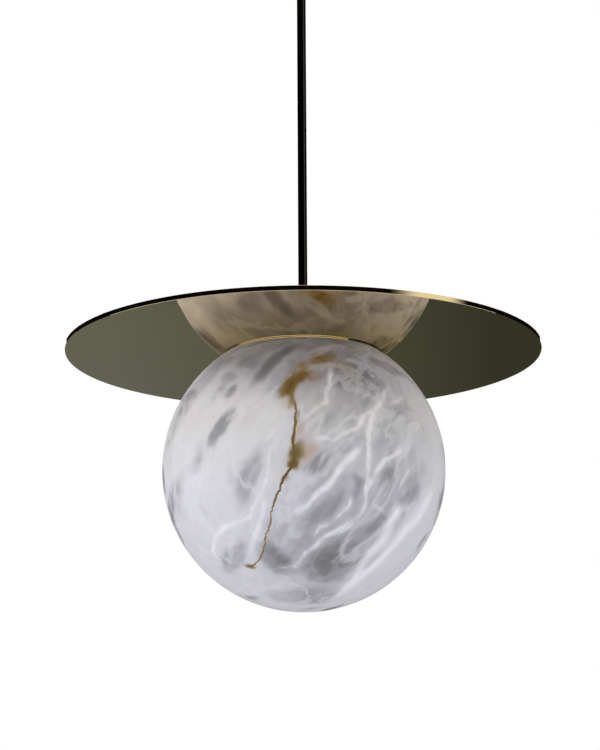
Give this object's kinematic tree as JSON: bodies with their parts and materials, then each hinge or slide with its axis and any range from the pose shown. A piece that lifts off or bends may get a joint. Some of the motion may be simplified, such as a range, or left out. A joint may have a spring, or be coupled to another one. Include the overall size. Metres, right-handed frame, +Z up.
{
  "type": "globe pendant light",
  "caption": "Truncated alabaster globe hung under a flat mirror-polished disc on a rigid stem, with a ceiling canopy, a hang-straight joint and a screw lamp inside.",
  "frame": {"origin": "centre of the ceiling bracket's upper face, midway between its two ceiling screw slots", "axes": "+Z up, towards the ceiling; +X along the bracket, through the canopy's side screws; -Y towards the front"},
  "size_m": [0.5099, 0.51, 0.755],
  "materials": {
    "disc_mirror": "polished",
    "dark_bronze": "polished",
    "gold_brass": "polished",
    "alabaster": "satin",
    "zinc_steel": "satin",
    "white_nylon": "satin",
    "black_rubber": "matte",
    "dark_felt": "matte",
    "black_flex": "satin",
    "core_insulation": "gloss",
    "ceramic_core": "satin",
    "black_phenolic": "satin",
    "lamp_white": "gloss",
    "lamp_opal": "satin",
    "lamp_metal": "satin"
  },
  "bodies": {
    "ceiling_bracket": {"mounting_bracket": "zinc_steel", "swivel_bolt": "zinc_steel", "bolt_washer": "zinc_steel", "swivel_yoke": "zinc_steel", "terminal_block": "white_nylon", "terminal_screws": "zinc_steel", "terminal_fixings": "zinc_steel", "cord_clamp": "white_nylon", "clamp_screw": "zinc_steel", "earth_screw": "gold_brass", "flex_cores_top": "core_insulation"},
    "canopy": {"canopy_cup": "dark_bronze"},
    "left_screw": {"canopy_screw_left": "dark_bronze"},
    "right_screw": {"canopy_screw_right": "dark_bronze"},
    "gimbal": {"gimbal_ring": "zinc_steel", "gimbal_pins": "zinc_steel"},
    "stem": {"swivel_fork": "zinc_steel", "swivel_ball": "dark_bronze", "ball_collar": "dark_bronze", "collar_screw": "zinc_steel", "stem_tube": "dark_bronze", "supply_flex": "black_flex", "flex_cores_bottom": "core_insulation", "stem_hub": "dark_bronze", "hub_screw": "zinc_steel", "hub_felt": "dark_felt", "mirror_disc": "disc_mirror", "nut_washers": "white_nylon", "lock_washer": "zinc_steel", "lock_nut": "zinc_steel", "holder_cap": "black_phenolic", "holder_core": "ceramic_core", "holder_liner": "gold_brass", "holder_contact": "gold_brass", "holder_sleeve": "black_phenolic"},
    "globe": {"alabaster_globe": "alabaster", "fitter_ring": "gold_brass", "fitter_gasket": "black_rubber", "globe_studs": "gold_brass"},
    "nut_1": {"thumb_nut_1": "dark_bronze"},
    "nut_2": {"thumb_nut_2": "dark_bronze"},
    "nut_3": {"thumb_nut_3": "dark_bronze"},
    "lamp": {"lamp_cap": "lamp_metal", "lamp_insulator": "black_phenolic", "lamp_contact": "lamp_metal", "lamp_collar": "lamp_white", "lamp_dome": "lamp_opal"}
  },
  "joints": [
    {"name": "swing_front_back", "type": "hinge", "parent": "ceiling_bracket", "child": "gimbal", "pos_m": [0, 0, -0.0354], "axis": [1, 0, 0], "range_deg": [-8, 8], "deforming": ["supply_flex"]},
    {"name": "swing_left_right", "type": "hinge", "parent": "gimbal", "child": "stem", "pos_m": [0, 0, -0.0354], "axis": [0, 1, 0], "range_deg": [-8, 8], "deforming": ["supply_flex"]},
    {"name": "canopy_drop", "type": "slide", "parent": "ceiling_bracket", "child": "canopy", "axis": [0, 0, -1], "range_m": [0, 0.06]},
    {"name": "left_screw_loosen", "type": "slide", "parent": "ceiling_bracket", "child": "left_screw", "axis": [-1, 0, 0], "range_m": [0, 0.004]},
    {"name": "right_screw_loosen", "type": "slide", "parent": "ceiling_bracket", "child": "right_screw", "axis": [1, 0, 0], "range_m": [0, 0.004]},
    {"name": "globe_lower", "type": "slide", "parent": "stem", "child": "globe", "axis": [0, 0, -1], "range_m": [0, 0.16]},
    {"name": "nut_1_lift", "type": "slide", "parent": "stem", "child": "nut_1", "axis": [0, 0, 1], "range_m": [0, 0.014]},
    {"name": "nut_2_lift", "type": "slide", "parent": "stem", "child": "nut_2", "axis": [0, 0, 1], "range_m": [0, 0.014]},
    {"name": "nut_3_lift", "type": "slide", "parent": "stem", "child": "nut_3", "axis": [0, 0, 1], "range_m": [0, 0.014]},
    {"name": "lamp_unscrew", "type": "slide", "parent": "stem", "child": "lamp", "axis": [0, 0, -1], "range_m": [0, 0.024]}
  ]
}
